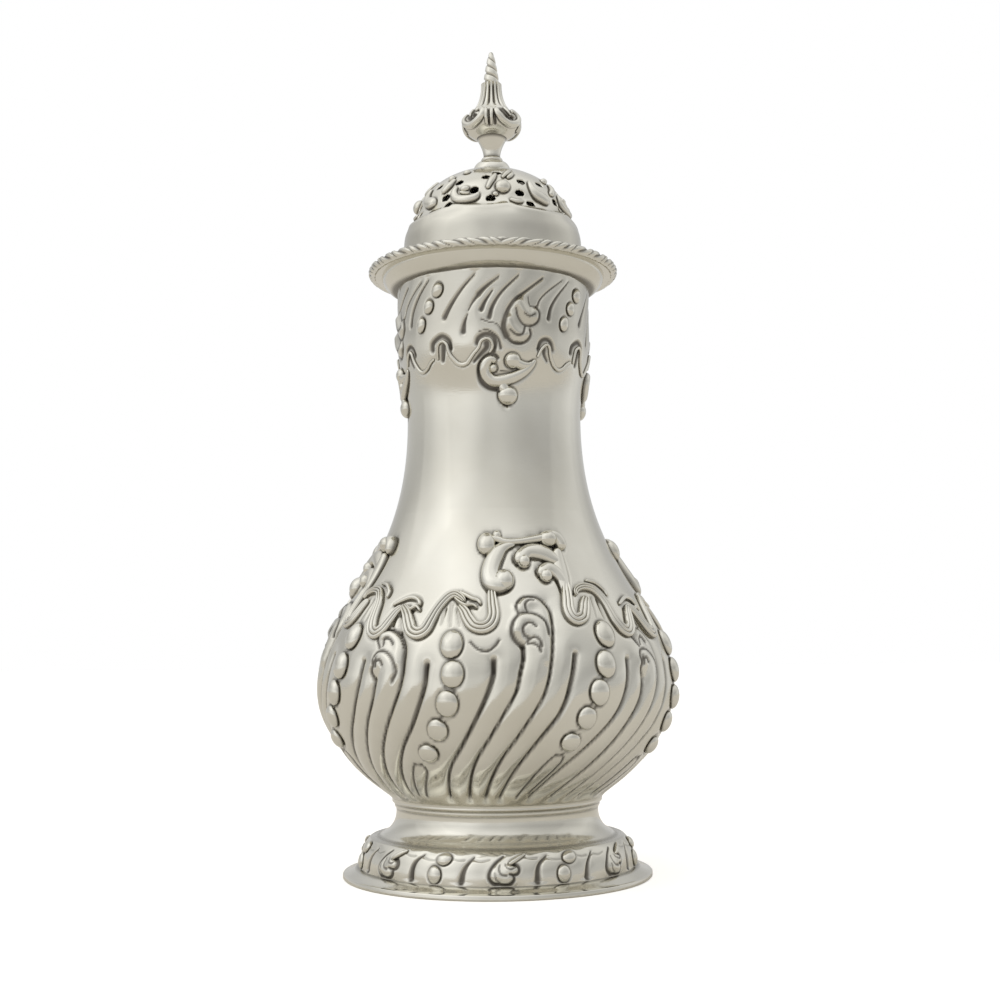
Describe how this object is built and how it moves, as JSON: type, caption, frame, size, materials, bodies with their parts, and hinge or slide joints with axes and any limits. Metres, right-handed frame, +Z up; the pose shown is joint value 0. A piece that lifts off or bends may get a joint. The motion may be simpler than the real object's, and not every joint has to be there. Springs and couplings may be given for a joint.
{
  "type": "sugar caster",
  "caption": "Pear-shaped silver sugar caster on a spreading foot, with chased scroll ornament and a pierced push-fit dome cover topped by a flame finial.",
  "frame": {"origin": "centre of the foot, on the table", "axes": "+Z up along the axis of the vessel; -Y towards the viewer of the picture"},
  "size_m": [0.0868, 0.0868, 0.2053],
  "materials": {
    "silver": "polished silver, darkened in the chased lines"
  },
  "bodies": {
    "vessel": {"foot_rim": "silver", "foot": "silver", "body": "silver", "neck_collar": "silver"},
    "cover": {"cover_flange": "silver", "gadroon_border": "silver", "cover_dome": "silver", "cover_bezel": "silver", "finial_button": "silver", "finial_stem": "silver", "finial_knop": "silver", "finial_spire": "silver"}
  },
  "joints": [
    {"name": "cover_lift", "type": "slide", "parent": "vessel", "child": "cover", "axis": [0, 0, 1], "range_m": [0, 0.05]}
  ]
}
